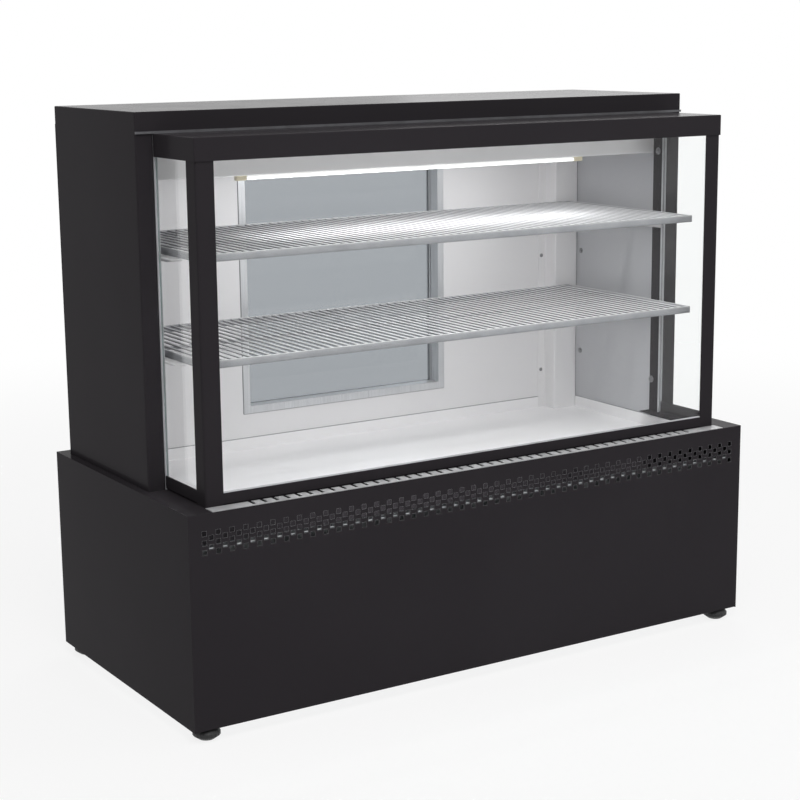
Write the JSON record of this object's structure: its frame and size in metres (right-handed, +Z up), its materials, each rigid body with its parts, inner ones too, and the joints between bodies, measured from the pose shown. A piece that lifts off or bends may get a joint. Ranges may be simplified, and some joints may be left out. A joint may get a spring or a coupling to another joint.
{
  "type": "ambient display case",
  "caption": "Free-standing ambient display case: black sheet-metal plinth with a perforated front, glazed front box, white-lined rear cabinet, wire shelves, lamp and hinged rear door",
  "frame": {"origin": "on the floor under the middle of the plinth", "axes": "+X to the customer's right, +Y towards the staff side, +Z up"},
  "size_m": [1.2, 0.56, 1.035],
  "materials": {
    "black_paint": "gloss",
    "white_paint": "satin",
    "galvanised_steel": "spangled",
    "satin_steel": "satin",
    "shelf_wire": "bright",
    "clear_glass": "polished",
    "anodised_aluminium": "satin",
    "pale_trim": "satin",
    "lamp_diffuser": "opal",
    "holder_plastic": "matte",
    "driver_case": "matte",
    "lead_sheath": "matte",
    "black_plastic": "matte",
    "rocker_plastic": "gloss",
    "foot_plastic": "satin",
    "grey_rubber": "matte",
    "black_rubber": "matte"
  },
  "bodies": {
    "case": {"cabinet_side_panel_left": "black_paint", "cabinet_side_panel_right": "black_paint", "canopy": "black_paint", "cord_grommet": "black_rubber", "corner_upright_left": "white_paint", "corner_upright_right": "white_paint", "deck_supports": "galvanised_steel", "deck_tray": "white_paint", "door_opening_frame": "anodised_aluminium", "fascia_trim": "pale_trim", "foot_sockets": "galvanised_steel", "front_glass": "clear_glass", "front_post_left": "black_paint", "front_post_right": "black_paint", "front_rail": "black_paint", "front_stiffener": "galvanised_steel", "glazing_channel_left": "pale_trim", "glazing_channel_right": "pale_trim", "hinge_brackets": "satin_steel", "hinge_pins": "satin_steel", "lamp_driver": "driver_case", "lamp_holders": "holder_plastic", "lamp_tube": "lamp_diffuser", "lid": "black_paint", "lower_shelf": "shelf_wire", "lower_shelf_arm_left": "white_paint", "lower_shelf_arm_right": "white_paint", "plinth_bottom_pan": "galvanised_steel", "plinth_front_panel": "black_paint", "plinth_rear_panel": "black_paint", "plinth_side_panel_left": "black_paint", "plinth_side_panel_right": "black_paint", "plinth_top_frame": "black_paint", "rear_liner": "white_paint", "rear_outer_panel": "black_paint", "roof_liner": "white_paint", "side_glass_left": "clear_glass", "side_glass_right": "clear_glass", "side_liner_left": "white_paint", "side_liner_right": "white_paint", "side_rail_left": "black_paint", "side_rail_right": "black_paint", "supply_lead": "lead_sheath", "switch_housing": "black_plastic", "upper_shelf": "shelf_wire", "upper_shelf_arm_left": "white_paint", "upper_shelf_arm_right": "white_paint", "valance": "white_paint", "vent_strip": "satin_steel"},
    "rear_door": {"door_frame": "anodised_aluminium", "door_glass": "clear_glass", "door_gasket": "grey_rubber", "door_pull": "anodised_aluminium", "hinge_leaves": "satin_steel"},
    "power_rocker": {"switch_rocker": "rocker_plastic"},
    "foot_front_left": {"levelling_foot_front_left": "foot_plastic"},
    "foot_front_right": {"levelling_foot_front_right": "foot_plastic"},
    "foot_rear_left": {"levelling_foot_rear_left": "foot_plastic"},
    "foot_rear_right": {"levelling_foot_rear_right": "foot_plastic"}
  },
  "joints": [
    {"name": "rear_door_hinge", "type": "hinge", "parent": "case", "child": "rear_door", "pos_m": [0.251, 0.262, 0.682], "axis": [0, 0, -1], "range_deg": [0, 110]},
    {"name": "power_rocker_tilt", "type": "hinge", "parent": "case", "child": "power_rocker", "pos_m": [0.47, 0.267, 0.255], "axis": [-1, 0, 0], "range_deg": [0, 16]},
    {"name": "foot_front_left_screw", "type": "slide", "parent": "case", "child": "foot_front_left", "axis": [0, 0, -1], "range_m": [0, 0.015]},
    {"name": "foot_front_right_screw", "type": "slide", "parent": "case", "child": "foot_front_right", "axis": [0, 0, -1], "range_m": [0, 0.015]},
    {"name": "foot_rear_left_screw", "type": "slide", "parent": "case", "child": "foot_rear_left", "axis": [0, 0, -1], "range_m": [0, 0.015]},
    {"name": "foot_rear_right_screw", "type": "slide", "parent": "case", "child": "foot_rear_right", "axis": [0, 0, -1], "range_m": [0, 0.015]}
  ]
}
